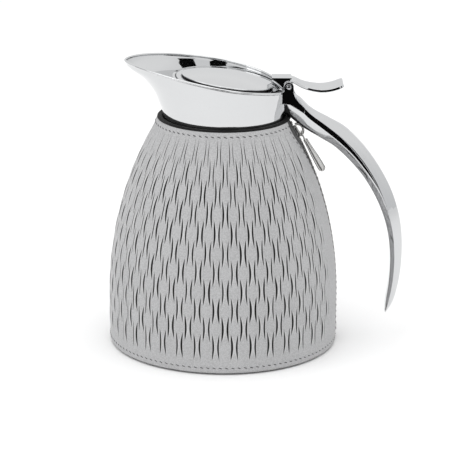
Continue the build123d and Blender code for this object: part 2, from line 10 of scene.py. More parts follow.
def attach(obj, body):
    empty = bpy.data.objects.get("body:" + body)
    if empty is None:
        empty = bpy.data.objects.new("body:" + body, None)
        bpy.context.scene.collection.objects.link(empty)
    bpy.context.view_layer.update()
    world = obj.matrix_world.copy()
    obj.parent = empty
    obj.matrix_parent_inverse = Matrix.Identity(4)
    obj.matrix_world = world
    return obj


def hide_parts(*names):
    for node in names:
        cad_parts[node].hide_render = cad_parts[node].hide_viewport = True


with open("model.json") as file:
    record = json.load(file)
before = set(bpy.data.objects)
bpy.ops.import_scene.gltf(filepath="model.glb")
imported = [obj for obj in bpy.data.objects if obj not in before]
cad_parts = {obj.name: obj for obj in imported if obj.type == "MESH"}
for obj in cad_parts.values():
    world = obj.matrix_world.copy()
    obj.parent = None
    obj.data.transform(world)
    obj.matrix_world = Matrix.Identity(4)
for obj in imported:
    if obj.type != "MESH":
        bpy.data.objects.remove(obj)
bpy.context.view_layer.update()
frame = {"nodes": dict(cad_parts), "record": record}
nodes = frame["nodes"]
mm = 0.001
rng = random.Random(11)
print("frame loaded:", len(nodes), "nodes")

def linearColour(code):
    # sRGB hex to linear RGBA
    channels = [int(code[k:k + 2], 16) / 255 for k in (1, 3, 5)]
    return [c / 12.92 if c <= 0.04045 else ((c + 0.055) / 1.055) ** 2.4 for c in channels] + [1.0]


def addNode(tree, kind, settings=None, links=None):
    node = tree.nodes.new(kind)
    for key, value in (settings or {}).items():
        if isinstance(key, int) or key in node.inputs:
            node.inputs[key].default_value = value
        else:
            setattr(node, key, value)
    for key, socket in (links or {}).items():
        tree.links.new(socket, node.inputs[key])
    return node


def startMaterial(name, settings):
    material = bpy.data.materials.new(name)
    material.use_nodes = True
    tree = material.node_tree
    tree.nodes.clear()
    shader = addNode(tree, "ShaderNodeBsdfPrincipled", settings)
    addNode(tree, "ShaderNodeOutputMaterial", None, {"Surface": shader.outputs[0]})
    where = addNode(tree, "ShaderNodeTexCoord").outputs["Object"]
    return material, tree, shader, where


def makeMesh(name, points, faces, smooth=True):
    mesh = bpy.data.meshes.new(name)
    mesh.from_pydata([tuple(p) for p in points], [], [tuple(f) for f in faces])
    mesh.validate()
    if smooth:
        mesh.polygons.foreach_set("use_smooth", [True] * len(mesh.polygons))
    mesh.update()
    thing = bpy.data.objects.new(name, mesh)
    bpy.context.scene.collection.objects.link(thing)
    return thing


def gridFaces(rows, columns, closed):
    r, c = np.meshgrid(np.arange(rows - 1), np.arange(columns if closed else columns - 1), indexing="ij")
    n = (c + 1) % columns
    quads = np.stack([r * columns + c, r * columns + n, (r + 1) * columns + n, (r + 1) * columns + c], -1)
    return quads.reshape(-1, 4)


def closedTube(name, rings, ends="both", flip=False):
    # rings joined into a tube; an end is one flat face, or with "fan" a fan round its middle
    rings = np.array(rings)
    rows, count = rings.shape[:2]
    points = rings.reshape(-1, 3)
    faces = [tuple(f) for f in gridFaces(rows, count, True)]
    last = (rows - 1) * count
    if ends == "fan":
        points = np.concatenate([points, [rings[0].mean(0), rings[-1].mean(0)]], 0)
        first = len(points) - 2
        faces += [(first, (k + 1) % count, k) for k in range(count)]
        faces += [(first + 1, last + k, last + (k + 1) % count) for k in range(count)]
    if ends == "both":
        faces.append(tuple(range(count))[::-1])
    if ends in ("both", "top"):
        faces.append(tuple(range(last, last + count)))
    return makeMesh(name, points * mm, [f[::-1] for f in faces] if flip else faces)


def smoothStep(low, high, value):
    t = np.clip((np.asarray(value, float) - low) / (high - low), 0, 1)
    return t * t * (3 - 2 * t)


def curveThrough(stations, value, column):
    # a smooth line through the stations, with tangents from their neighbours
    s = np.array(stations, float)
    x, y = s[:, 0], s[:, column]
    slope = np.gradient(y, x)
    v = np.clip(value, x[0], x[-1])
    k = np.clip(np.searchsorted(x, v) - 1, 0, len(x) - 2)
    h = x[k + 1] - x[k]
    t = (v - x[k]) / h
    a, b = 2 * t ** 3 - 3 * t ** 2 + 1, t ** 3 - 2 * t ** 2 + t
    c, d = -2 * t ** 3 + 3 * t ** 2, t ** 3 - t ** 2
    return a * y[k] + b * h * slope[k] + c * y[k + 1] + d * h * slope[k + 1]


# camera, floor and light
studio = {
    "lens": 177.4,
    "eye": (0.004264, -1.4215, 0.5067),   # metres
    "down": 16.942,                       # degrees
    "roll": 0.304,                        # degrees
    "world": 1.0,
    "horizon": "#E6E7E8",
    "zenith": "#FFFFFF",
    "key": 6.5,                           # watts of the top softbox; the left one has half
    "floorHalf": 15,                      # metres, so that its edge is never in view
}

camera = bpy.data.objects.new("camera", bpy.data.cameras.new("camera"))
bpy.context.scene.collection.objects.link(camera)
camera.data.lens = studio["lens"]
camera.data.sensor_width = 36
camera.data.clip_end = 50
down, roll = math.radians(studio["down"]), math.radians(studio["roll"])
forward = Vector((0, math.cos(down), -math.sin(down)))
up = Vector((0, math.sin(down), math.cos(down)))
right = Vector((1, 0, 0))
tiltedRight = right * math.cos(roll) + up * math.sin(roll)
tiltedUp = -right * math.sin(roll) + up * math.cos(roll)
turned = Matrix((tiltedRight, tiltedUp, -forward)).transposed().to_4x4()
camera.matrix_world = Matrix.Translation(studio["eye"]) @ turned
bpy.context.scene.camera = camera
bpy.context.scene.view_settings.view_transform = "Standard"

world = bpy.data.worlds.new("studio")
bpy.context.scene.world = world
world.use_nodes = True
tree = world.node_tree
tree.nodes.clear()
direction = addNode(tree, "ShaderNodeTexCoord").outputs["Generated"]
height = addNode(tree, "ShaderNodeSeparateXYZ", None, {0: direction}).outputs["Z"]
sky = addNode(tree, "ShaderNodeValToRGB", None, {0: height})
sky.color_ramp.elements[0].position = 0.0
sky.color_ramp.elements[0].color = linearColour(studio["horizon"])
sky.color_ramp.elements[1].position = 0.5
sky.color_ramp.elements[1].color = linearColour(studio["zenith"])
glow = addNode(tree, "ShaderNodeBackground", {"Strength": studio["world"]}, {"Color": sky.outputs[0]})
addNode(tree, "ShaderNodeOutputWorld", None, {0: glow.outputs[0]})

w = studio["floorHalf"]
floor = makeMesh("floor", [(-w, -w, 0), (w, -w, 0), (w, w, 0), (-w, w, 0)], [(0, 1, 2, 3)], False)
# uncoated paper: no gloss, and a clouding 333 mm across that is only just there
paper, tree, shader, where = startMaterial("matt white studio paper", {"Roughness": 0.9, "Specular IOR Level": 0.1})
mottle = addNode(tree, "ShaderNodeTexNoise", {"Scale": 1000 / 333}, {"Vector": where})
tone = addNode(tree, "ShaderNodeMix", {"data_type": "RGBA", 6: linearColour("#F9F9F9"), 7: linearColour("#FBFBFB")},
               {0: mottle.outputs[0]})
tree.links.new(tone.outputs[2], shader.inputs["Base Color"])
floor.data.materials.append(paper)


def addPanel(name, place, aim, width, depth, power):
    light = bpy.data.objects.new(name, bpy.data.lights.new(name, "AREA"))
    light.data.shape = "RECTANGLE"
    light.data.size, light.data.size_y = width, depth
    light.data.energy = power
    light.location = place
    light.rotation_euler = (Vector(aim) - Vector(place)).to_track_quat("-Z", "Y").to_euler()
    bpy.context.scene.collection.objects.link(light)


addPanel("topSoftbox", (0.1, -0.2, 1.5), (0, 0, 0.1), 1.6, 1.6, studio["key"])
addPanel("leftSoftbox", (-1.3, -0.6, 0.7), (0, 0, 0.1), 0.8, 1.2, studio["key"] * 0.5)


def addCard(name, corners):
    card = makeMesh(name, corners, [(0, 1, 2, 3)], False)
    card.data.materials.append(cardMaterial)
    card.visible_camera = False
    card.visible_diffuse = False
    card.visible_shadow = False


# flocked board: swallows the light, with tufts 2.5 mm apart, coarser than real
cardMaterial, tree, shader, where = startMaterial("black flock board", {"Roughness": 1.0, "Specular IOR Level": 0.0})
mottle = addNode(tree, "ShaderNodeTexNoise", {"Scale": 1000 / 2.5}, {"Vector": where})
tone = addNode(tree, "ShaderNodeMix", {"data_type": "RGBA", 6: linearColour("#050505"), 7: linearColour("#101010")},
               {0: mottle.outputs[0]})
tree.links.new(tone.outputs[2], shader.inputs["Base Color"])
print("studio ready")

# materials
finish = {
    "swell": 33,           # mm, the wheel's slow waves in a buffed metal
    "haze": 1.1,           # mm between specks of haze, coarser than real so that they show
    "waveDepth": 0.0004,   # metres, as are the other depths
    "hairline": (50, 50, 0.667),   # mm, length and gap of brushed lines, drawn about three times as coarse as real
    "pressed": (1.43, 1.43, 1.43),
    "hairDepth": 0.0001,
    "cloud": 16.7,         # mm, slight unevenness of a moulding's gloss
    "grainDepth": 0.00006,
    "threadDepth": 0.0002,
}


def mirrorMetal(name, light, dark, roughLow, roughHigh, wave):
    # slow swells bend the reflections a little, and specks of haze keep the gloss from looking perfect
    material, tree, shader, where = startMaterial(name, {"Metallic": 1.0})
    swell = addNode(tree, "ShaderNodeTexNoise", {"Scale": 1000 / finish["swell"], "Detail": 2.0}, {"Vector": where})
    haze = addNode(tree, "ShaderNodeTexNoise", {"Scale": 1000 / finish["haze"], "Detail": 3.0}, {"Vector": where})
    colour = addNode(tree, "ShaderNodeMix", {"data_type": "RGBA", 6: linearColour(dark), 7: linearColour(light)},
                     {0: haze.outputs[0]})
    tree.links.new(colour.outputs[2], shader.inputs["Base Color"])
    rough = addNode(tree, "ShaderNodeMapRange", {"To Min": roughLow, "To Max": roughHigh}, {"Value": haze.outputs[0]})
    tree.links.new(rough.outputs[0], shader.inputs["Roughness"])
    bump = addNode(tree, "ShaderNodeBump", {"Strength": wave, "Distance": finish["waveDepth"]},
                   {"Height": swell.outputs[0]})
    tree.links.new(bump.outputs[0], shader.inputs["Normal"])
    return material


# buffed on a wheel: a clear, slightly grey mirror
mirrorSteel = mirrorMetal("stainless steel, mirror polished", "#D3D4D5", "#CFD0D1", 0.03, 0.06, 0.02)
# plated over a polished casting: the same mirror, a little deeper
handleChrome = mirrorMetal("cast zinc, chrome plated", "#D2D3D4", "#CDCECF", 0.03, 0.06, 0.02)
# cut on a lathe: a soft gloss that blurs what it mirrors
screwSteel = mirrorMetal("turned stainless steel", "#C9CACC", "#B7B8BB", 0.14, 0.24, 0.1)
# pulled through a die: darker, with a dull sheen along the wire
springSteel = mirrorMetal("drawn spring steel wire", "#A9AAAD", "#8E9093", 0.2, 0.32, 0.1)
# rubbed in a drum: bright and a little warm, with rounded highlights
zipNickel = mirrorMetal("nickel plated brass, tumbled", "#E0DFDD", "#D2D1CF", 0.14, 0.24, 0.1)


def brushedMetal(name, light, dark, size):
    # streaks that spread each highlight across the lines; size is the streak's length each way
    material, tree, shader, where = startMaterial(name, {"Metallic": 1.0})
    squeeze = addNode(tree, "ShaderNodeMapping", {"Scale": [1000 / v for v in size]}, {"Vector": where})
    lines = addNode(tree, "ShaderNodeTexNoise", {"Scale": 1.0, "Detail": 4.0}, {"Vector": squeeze.outputs[0]})
    colour = addNode(tree, "ShaderNodeMix", {"data_type": "RGBA", 6: linearColour(dark), 7: linearColour(light)},
                     {0: lines.outputs[0]})
    tree.links.new(colour.outputs[2], shader.inputs["Base Color"])
    rough = addNode(tree, "ShaderNodeMapRange", {"To Min": 0.24, "To Max": 0.42}, {"Value": lines.outputs[0]})
    tree.links.new(rough.outputs[0], shader.inputs["Roughness"])
    bump = addNode(tree, "ShaderNodeBump", {"Strength": 0.15, "Distance": finish["hairDepth"]},
                   {"Height": lines.outputs[0]})
    tree.links.new(bump.outputs[0], shader.inputs["Normal"])
    return material


# hairlines round the wall from a belt: satin, with a wide soft highlight
flaskSteel = brushedMetal("stainless steel, satin brushed", "#C8CACC", "#A9ABAE", finish["hairline"])
# stamped and left as it is: a dull, even speckle
getterMetal = brushedMetal("pressed nickel cup, matt", "#A5A39C", "#8C8A84", finish["pressed"])


def mouldedPlastic(name, light, dark, rough, grain, settings):
    # the mould's fine spark-eroded grain, with a slow mottling of the gloss; grain is its spacing in mm,
    # coarser than the real tenth of a millimetre so that it shows
    material, tree, shader, where = startMaterial(name, settings)
    cells = addNode(tree, "ShaderNodeTexVoronoi", {"Scale": 1000 / grain}, {"Vector": where})
    cloud = addNode(tree, "ShaderNodeTexNoise", {"Scale": 1000 / finish["cloud"], "Detail": 3.0}, {"Vector": where})
    colour = addNode(tree, "ShaderNodeMix", {"data_type": "RGBA", 6: linearColour(dark), 7: linearColour(light)},
                     {0: cloud.outputs[0]})
    tree.links.new(colour.outputs[2], shader.inputs["Base Color"])
    level = addNode(tree, "ShaderNodeMapRange", {"To Min": rough - 0.06, "To Max": rough + 0.06},
                    {"Value": cloud.outputs[0]})
    tree.links.new(level.outputs[0], shader.inputs["Roughness"])
    bump = addNode(tree, "ShaderNodeBump", {"Strength": 0.25, "Distance": finish["grainDepth"]},
                   {"Height": cells.outputs[0]})
    tree.links.new(bump.outputs[0], shader.inputs["Normal"])
    return material


# polypropylene from a grained mould: black with a dull gloss
blackPlastic = mouldedPlastic("polypropylene, moulded black", "#1D1D1E", "#141415", 0.42, 0.5, {"IOR": 1.49})
# rubber: nearly no gloss at all, slightly lighter than the plastic
footRubber = mouldedPlastic("rubber, moulded matt", "#232323", "#191919", 0.72, 0.7, {"IOR": 1.52})
# silicone: milky, as light goes a little way in
sealSilicone = mouldedPlastic("silicone, moulded translucent white", "#D3D4D2", "#C2C3C1", 0.4, 0.6,
                              {"IOR": 1.41, "Subsurface Weight": 0.2, "Subsurface Scale": 0.002})
# paint brushed over cut leather: deep black and slightly lumpy
edgePaint = mouldedPlastic("edge paint on leather, matt black", "#121212", "#090909", 0.6, 0.9,
                           {"IOR": 1.45, "Specular IOR Level": 0.25})
# waxed thread: charcoal with a soft shine
thread = mouldedPlastic("waxed polyester thread, charcoal", "#48484A", "#323234", 0.55, 0.3, {"IOR": 1.5})
# ABS from a polished mould: black and glossy
lidBlack = mouldedPlastic("ABS, gloss black moulding", "#0E0E0F", "#070708", 0.16, 1.2, {"IOR": 1.53})


def wovenCloth(name, light, dark, pitch):
    # threads over and under; pitch is their spacing in mm, and they are drawn about twice as coarse so that they show
    nap = {"Roughness": 0.9, "Sheen Weight": 0.25, "Sheen Roughness": 0.5}
    material, tree, shader, where = startMaterial(name, nap)
    scale = 1000 / pitch / (2 * math.pi)
    bands = addNode(tree, "ShaderNodeTexWave", {"Scale": scale, "bands_direction": "Z", "Distortion": 0.4},
                    {"Vector": where})
    cross = addNode(tree, "ShaderNodeTexWave", {"Scale": scale, "bands_direction": "DIAGONAL", "Distortion": 0.4},
                    {"Vector": where})
    both = addNode(tree, "ShaderNodeMath", {"operation": "MULTIPLY"}, {0: bands.outputs[1], 1: cross.outputs[1]})
    colour = addNode(tree, "ShaderNodeMix", {"data_type": "RGBA", 6: linearColour(dark), 7: linearColour(light)},
                     {0: both.outputs[0]})
    tree.links.new(colour.outputs[2], shader.inputs["Base Color"])
    bump = addNode(tree, "ShaderNodeBump", {"Strength": 0.5, "Distance": finish["threadDepth"]},
                   {"Height": both.outputs[0]})
    tree.links.new(bump.outputs[0], shader.inputs["Normal"])
    return material


# needled felt: a loose, deep black nap
blackFelt = wovenCloth("wool felt, needled black", "#1B1B1C", "#0D0D0E", 1.6)
# plain weave lining: flat black with a faint grid
blackLining = wovenCloth("polyester lining, plain weave black", "#1A1A1B", "#0C0C0D", 0.5)
# zip tape: tight ribs that catch a little light
zipTape = wovenCloth("polyester zip tape, woven black", "#1E1E1F", "#0E0E0F", 0.6)

leather = {
    "light": "#C3C3C4",
    "dark": "#B7B7B8",
    # painted shade at the bottom of the slits
    "slit": "#0E0E0E",
    "ridgeHighlight": "#F2F2F2",   # painted highlight on the ridges beside the slits, where light catches them
    "grain": 0.8,          # mm between the pebbles of the printed grain
    "fibre": 0.385,        # mm, fine roughness between the pebbles
    "cloud": 22.2,         # mm, the dye's unevenness
    "pebbleDark": 0.76, "pebbleLight": 1.03,
    "depth": 0.00012,      # metres
}

# embossed cowhide: dull and dry, with a pebble grain, painted shade in the slits and a painted highlight on the ridges
# beside them
greyLeather, tree, shader, where = startMaterial("split cowhide, embossed grey",
                                                 {"IOR": 1.5, "Roughness": 0.55, "Specular IOR Level": 0.35})
grain = addNode(tree, "ShaderNodeTexVoronoi", {"Scale": 1000 / leather["grain"], "feature": "F1"}, {"Vector": where})
fine = addNode(tree, "ShaderNodeTexNoise", {"Scale": 1000 / leather["fibre"], "Detail": 3.0}, {"Vector": where})
cloud = addNode(tree, "ShaderNodeTexNoise", {"Scale": 1000 / leather["cloud"], "Detail": 3.0}, {"Vector": where})
distance = addNode(tree, "ShaderNodeAttribute", {"attribute_name": "slitDistance"})
opening = addNode(tree, "ShaderNodeAttribute", {"attribute_name": "slitOpening"})
ratio = addNode(tree, "ShaderNodeMath", {"operation": "DIVIDE"},
                {0: distance.outputs["Fac"], 1: opening.outputs["Fac"]})
base = addNode(tree, "ShaderNodeMix", {"data_type": "RGBA", 6: linearColour(leather["dark"]),
                                       7: linearColour(leather["light"])}, {0: cloud.outputs[0]})
pebble = addNode(tree, "ShaderNodeMapRange", {"From Min": 0.0, "From Max": 0.7, "To Min": leather["pebbleLight"],
                                              "To Max": leather["pebbleDark"]}, {"Value": grain.outputs["Distance"]})
tinted = addNode(tree, "ShaderNodeMix", {"data_type": "RGBA", "blend_type": "MULTIPLY", 0: 1.0},
                 {6: base.outputs[2], 7: pebble.outputs[0]})
# painted highlight on the ridges just beside each slit
ridgeHighlight = addNode(tree, "ShaderNodeMapRange", {"From Min": 1.0, "From Max": 2.6, "To Min": 0.3, "To Max": 0.0,
                                              "interpolation_type": "SMOOTHSTEP"}, {"Value": ratio.outputs[0]})
ridgeLit = addNode(tree, "ShaderNodeMix", {"data_type": "RGBA", 7: linearColour(leather["ridgeHighlight"])},
                {0: ridgeHighlight.outputs[0], 6: tinted.outputs[2]})
# painted shade: each slit darkens towards its middle, by distance over opening
shadow = addNode(tree, "ShaderNodeMapRange", {"From Min": 0.5, "From Max": 1.15, "To Min": 1.0, "To Max": 0.0,
                                              "interpolation_type": "SMOOTHSTEP"}, {"Value": ratio.outputs[0]})
final = addNode(tree, "ShaderNodeMix", {"data_type": "RGBA", 7: linearColour(leather["slit"])},
                {0: shadow.outputs[0], 6: ridgeLit.outputs[2]})
tree.links.new(final.outputs[2], shader.inputs["Base Color"])
relief = addNode(tree, "ShaderNodeMath", {"operation": "MULTIPLY_ADD", 1: -1.5},
                 {0: grain.outputs["Distance"], 2: fine.outputs[0]})
bump = addNode(tree, "ShaderNodeBump", {"Strength": 0.5, "Distance": leather["depth"]}, {"Height": relief.outputs[0]})
tree.links.new(bump.outputs[0], shader.inputs["Normal"])
print("materials ready")

slotLooks = {
    "flask_steel": flaskSteel, "polished_steel": mirrorSteel, "polished_handle": handleChrome,
    "screw_steel": screwSteel, "spring_steel": springSteel, "getter_metal": getterMetal,
    "black_plastic": blackPlastic, "foot_rubber": footRubber, "seal_silicone": sealSilicone,
    "grey_leather": greyLeather, "black_felt": blackFelt, "black_lining": blackLining,
    "zip_tape": zipTape, "zip_metal": zipNickel,
}
for part in frame["record"]["subparts"]:
    look = slotLooks[part["material_slot"]]
    thing = nodes[part["node"]]
    for slot in thing.material_slots:
        slot.material = look
    if not thing.material_slots:
        thing.data.materials.append(look)
print("frame painted")

# body outline, in mm: straight below, then an arc up to the neck, where the hem stands out a little
form = {"straight": 32.0, "belly": 75.0, "arcRadius": 230.0, "arcCentre": -155.0, "collarFrom": 141.0, "collar": 1.7}

# leather jacket
jacket = {
    "pitch": 9.118,             # degrees from one strand to the next in a row
    "first": 25.0,              # degrees, first strand from the zip
    "pairs": 34,
    "row": 12.0,                # mm between rows
    "lowRow": 18.7,
    "rows": 11,
    "halfLength": 8.6,          # mm, half of one slit
    "opening": 0.125,           # widest half opening, in half pitches
    "grooveWidth": 0.06,        # in half pitches
    "depth": 1.0,               # mm
    "crown": 0.42,              # mm
    "fadeFrom": 116.0,          # mm up, where the slits start to get smaller
    "fadeTo": 153.0,
    "low": 1.2,
    "high": 151.0,
    "step": 0.7,                # mm between rows of points
    "setBack": 0.3,             # mm, so that the crowns keep to the jacket's outline
    "turnedIn": (0.55, 0.12),   # mm, roundness of the outer two rows at every edge
    "thick": 1.4,
    # height and half width of the zip's slot
    "slot": ((1.2, 4.2), (112, 4.2), (126, 8.0), (134, 11.0), (140, 13.5), (151, 15.0)),
}


def sideRadius(z):
    z = np.asarray(z, float)
    f = form
    collar = f["collar"] * np.clip((z - f["collarFrom"]) / 10, 0, 1) ** 2
    rise = z - f["straight"]
    arc = f["arcCentre"] + np.sqrt(np.maximum(f["arcRadius"] ** 2 - rise ** 2, 0))
    return np.where(rise <= 0, f["belly"], arc) + collar


def sideLean(z):
    # sine of the side's lean inwards
    return np.maximum(0, (z - form["straight"]) / form["arcRadius"])


def slotHalf(z):
    s = np.array(jacket["slot"])
    return np.interp(z, s[:, 0], s[:, 1])


def slitTrack(dz):
    # where a strand line wanders to, in half pitches
    return 0.25 + 0.15 * (1 - np.cos(2 * np.pi * dz / (2 * jacket["row"]))) / 2


def nearestRow(z, parity):
    # distance along the height to the nearest row of this strand line, and that row's number
    first = jacket["lowRow"] + (0 if parity else jacket["row"])
    k = np.round((z - first) / (2 * jacket["row"]))
    return z - (first + 2 * jacket["row"] * k), k * 2 + (0 if parity else 1)


def slitSize(z, strand, side):
    dz, row = nearestRow(z, strand % 2)
    lens = np.clip(1 - (dz / jacket["halfLength"]) ** 2, 0, 1)
    amplitude = 1 - smoothStep(jacket["fadeFrom"], jacket["fadeTo"], z)
    inside = (row >= 0) & (row < jacket["rows"])
    # a repeatable unevenness from 0.8 to 1.2; the large factors only scramble the sine
    scrambled = np.array([(math.sin(strand * 12.9898 + side * 4.1 + r * 78.233) * 43758.5453) % 1 for r in row])
    jitter = 0.8 + 0.4 * scrambled
    return np.where(inside, lens ** 0.75 * amplitude ** 0.55 * jitter, 0), dz


def buildJacket():
    j = jacket
    z = np.arange(j["low"], j["high"] + 0.01, j["step"])
    halfPitch = j["pitch"] / 2
    columns, reach, opening, lift = [], [], [], []   # one entry per column, each along the height
    startAngle = j["first"] - halfPitch
    edge = np.degrees(np.arcsin(slotHalf(z) / sideRadius(z)))
    far, none = np.full(len(z), 9.0), np.full(len(z), 0.001)

    def addColumn(angle, d, o, h):
        columns.append(angle)
        reach.append(d)
        opening.append(o)
        lift.append(h)

    plain = np.linspace(0, 1, 10)[:-1]
    for t in plain:
        addColumn(edge + (startAngle - edge) * t, far, none, np.zeros(len(z)))
    halves = 2 * j["pairs"] + 2
    for h in range(halves):
        # strand lines stand at both ends of each half pitch
        sizeLeft, dzLeft = slitSize(z, h - 1, 0)
        sizeRight, dzRight = slitSize(z, h, 1)
        if h == 0:
            sizeLeft = np.zeros(len(z))
        if h == halves - 1:
            sizeRight = np.zeros(len(z))
        a, b = slitTrack(dzLeft), 1 - slitTrack(dzRight)
        wide, narrow = 0.1, 0.05
        middle = (a + wide + b - wide) / 2
        steps = [np.zeros(len(z)), a - wide, a - narrow, a, a + narrow, a + wide, middle,
                 b - wide, b - narrow, b, b + narrow, b + wide]
        for u in steps:
            dLeft, dRight = np.abs(u - a), np.abs(u - b)
            useLeft = dLeft < dRight
            d = np.where(useLeft, dLeft, dRight)
            size = np.where(useLeft, sizeLeft, sizeRight)
            groove = np.exp(-(d / j["grooveWidth"]) ** 2) * size
            strandLeft = np.cos(np.clip(u / np.maximum(a, 0.01), 0, 1) * np.pi / 2) * sizeLeft
            strandRight = np.cos(np.clip((1 - u) / np.maximum(1 - b, 0.01), 0, 1) * np.pi / 2) * sizeRight
            addColumn(startAngle + (h + u) * halfPitch, d, np.maximum(j["opening"] * size, 0.001),
                      j["crown"] * (strandLeft + strandRight) - j["depth"] * groove)
    for t in plain:
        endAngle = startAngle + halves * halfPitch
        addColumn(endAngle + (360 - edge - endAngle) * t, far, none, np.zeros(len(z)))
    addColumn(360 - edge, far, none, np.zeros(len(z)))
    angle = np.radians(np.array(columns))            # columns x heights
    lift = np.array(lift)
    radius = sideRadius(z)[None, :] + lift - j["setBack"]
    level = np.broadcast_to(z[None, :], angle.shape) + (lift - j["setBack"]) * sideLean(z)[None, :]
    # edges: skived and turned in at the zip and at the top and bottom
    roundIn = np.zeros_like(radius)
    for k, drop in enumerate(j["turnedIn"]):
        roundIn[:, k] = np.maximum(roundIn[:, k], drop)
        roundIn[:, -1 - k] = np.maximum(roundIn[:, -1 - k], drop)
        roundIn[k, :] = np.maximum(roundIn[k, :], drop * 0.8)
        roundIn[-1 - k, :] = np.maximum(roundIn[-1 - k, :], drop * 0.8)
    radius = radius - roundIn
    points = np.stack([radius * np.cos(angle), -radius * np.sin(angle), level], -1)
    reach, opening = np.array(reach), np.array(opening)

    def pushIn(block, by):
        length = np.linalg.norm(block[..., :2], axis=-1, keepdims=True)
        out = block.copy()
        out[..., :2] *= (length - by) / length
        return out

    # inner returns on all four edges
    fold = j["thick"] - 0.6
    points = np.concatenate([pushIn(points[:1], fold), points, pushIn(points[-1:], fold)], 0)
    reach = np.pad(reach, ((1, 1), (0, 0)), mode="edge")
    opening = np.pad(opening, ((1, 1), (0, 0)), mode="edge")
    points = np.concatenate([pushIn(points[:, :1], fold), points, pushIn(points[:, -1:], fold)], 1)
    reach = np.pad(reach, ((0, 0), (1, 1)), mode="edge")
    opening = np.pad(opening, ((0, 0), (1, 1)), mode="edge")
    rows, cols = points.shape[:2]
    piece = makeMesh("leatherJacket", points.reshape(-1, 3) * mm, gridFaces(rows, cols, False))
    # distance to the nearest slit and its opening, which the leather uses to place painted shade in the slits and a
    # painted highlight beside them
    for name, values in (("slitDistance", reach), ("slitOpening", opening)):
        attribute = piece.data.attributes.new(name, "FLOAT", "POINT")
        attribute.data.foreach_set("value", values.reshape(-1).astype(np.float32))
    piece.data.materials.append(greyLeather)
    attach(piece, "flask")
    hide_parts("leather_jacket")
    return piece


leatherPiece = buildJacket()
print("jacket", len(leatherPiece.data.vertices), "points")

# stitching
stitching = {
    "step": 4.0, "length": 2.9, "thick": 0.55,   # mm
    "slant": 20.0, "uneven": 3.0,                # degrees
    "topZ": 147.7, "lowZ": 4.7, "edgeIn": 3.0,
    "ring": 8, "along": 7,                       # points round and along one stitch
}


def buildStitches():
    s = stitching
    places = []                                    # (angle, z, slant)
    for z in (s["topZ"], s["lowZ"]):
        r = float(sideRadius(z))
        margin = math.degrees(math.asin(float(slotHalf(z)) / r)) + 2.0
        count = int(math.radians(360 - 2 * margin) * r / s["step"])
        for k in range(count + 1):
            places.append((margin + (360 - 2 * margin) * k / count, z, s["slant"]))
    for side in (1, -1):
        z = s["lowZ"] + s["step"]
        while z < s["topZ"] - 2:
            r = float(sideRadius(z))
            angle = math.degrees(math.asin(float(slotHalf(z)) / r)) + math.degrees(s["edgeIn"] / r)
            places.append((angle if side > 0 else 360 - angle, z, 90 - s["slant"] * side))
            z += s["step"] * math.sqrt(1 - float(sideLean(z)) ** 2)
    ring, along = s["ring"], s["along"]
    points, faces = [], []
    for angle, z, slant in places:
        turn = math.radians(angle)
        lean = float(sideLean(z))
        level = math.sqrt(1 - lean ** 2)
        outward = Vector((math.cos(turn) * level, -math.sin(turn) * level, lean))
        aside = Vector((-math.sin(turn), -math.cos(turn), 0))
        upward = outward.cross(aside).normalized()
        if upward.z < 0:
            upward = -upward
        tilt = math.radians(slant + rng.uniform(-s["uneven"], s["uneven"]))
        ahead = -aside * math.cos(tilt) - upward * math.sin(tilt)
        across = outward.cross(ahead).normalized()
        r = float(sideRadius(z)) - jacket["setBack"]
        centre = Vector((r * math.cos(turn), -r * math.sin(turn), z))
        start = len(points)
        for i in range(along):
            t = -1 + 2 * i / (along - 1)
            width = s["thick"] / 2 * math.sqrt(max(0.02, 1 - abs(t) ** 3))
            middle = centre + ahead * (s["length"] / 2 * t) - outward * (0.35 * t * t - 0.06)
            for k in range(ring):
                a = 2 * math.pi * k / ring
                place = middle + across * (width * math.cos(a)) + outward * (width * 0.8 * math.sin(a))
                points.append(place * mm)
        faces += [tuple(start + v for v in f) for f in gridFaces(along, ring, True)]
    piece = makeMesh("jacketStitching", points, faces)
    piece.data.materials.append(thread)
    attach(piece, "flask")


buildStitches()
print("stitching done")

# neck hem
hem = {
    "around": 180,
    # radius and height, a closed outline
    "profile": ((39.7, 149.8), (39.7, 151.2), (40.2, 151.6), (41.6, 151.7), (42.6, 151.6), (43.1, 151.2),
                (43.2, 150.7), (42.7, 150.1)),
}


def buildHem():
    count = hem["around"]
    turn = np.linspace(0, 2 * np.pi, count, endpoint=False)
    rings = [np.stack([r * np.cos(turn), r * np.sin(turn), np.full(count, z)], -1) for r, z in hem["profile"]]
    last = (len(rings) - 1) * count
    faces = [tuple(f) for f in gridFaces(len(rings), count, True)]
    faces += [(last + k, last + (k + 1) % count, (k + 1) % count, k) for k in range(count)]
    piece = makeMesh("neckHem", np.array(rings).reshape(-1, 3) * mm, faces)
    piece.data.materials.append(edgePaint)
    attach(piece, "flask")
    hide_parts("neck_binding")


buildHem()
print("hem done")

# pouring head
head = {
    # height, share of the spout's reach, share of the width
    "form": ((144.6, 0, 0), (152.8, 0, 0), (160, 0.093, 0.22), (170, 0.281, 0.50), (178, 0.574, 0.76),
             (184, 0.916, 0.92), (189, 1, 1), (196, 1.08, 1.08)),
    # place along the jug and height of the rim
    "rim": ((-72.3, 187.7), (-60, 187.2), (-45, 185.4), (-30, 183.0), (-15, 180.6), (0, 177.9), (12, 175.6),
            (24, 173.2), (38.6, 169.2), (46.6, 166.6)),
    "neck": 39.4, "reach": 64.3, "back": 38.6, "half": 45.0,
    "sheet": 1.0, "lip": 0.75, "low": 144.6, "innerLow": 150.0, "around": 288,
}


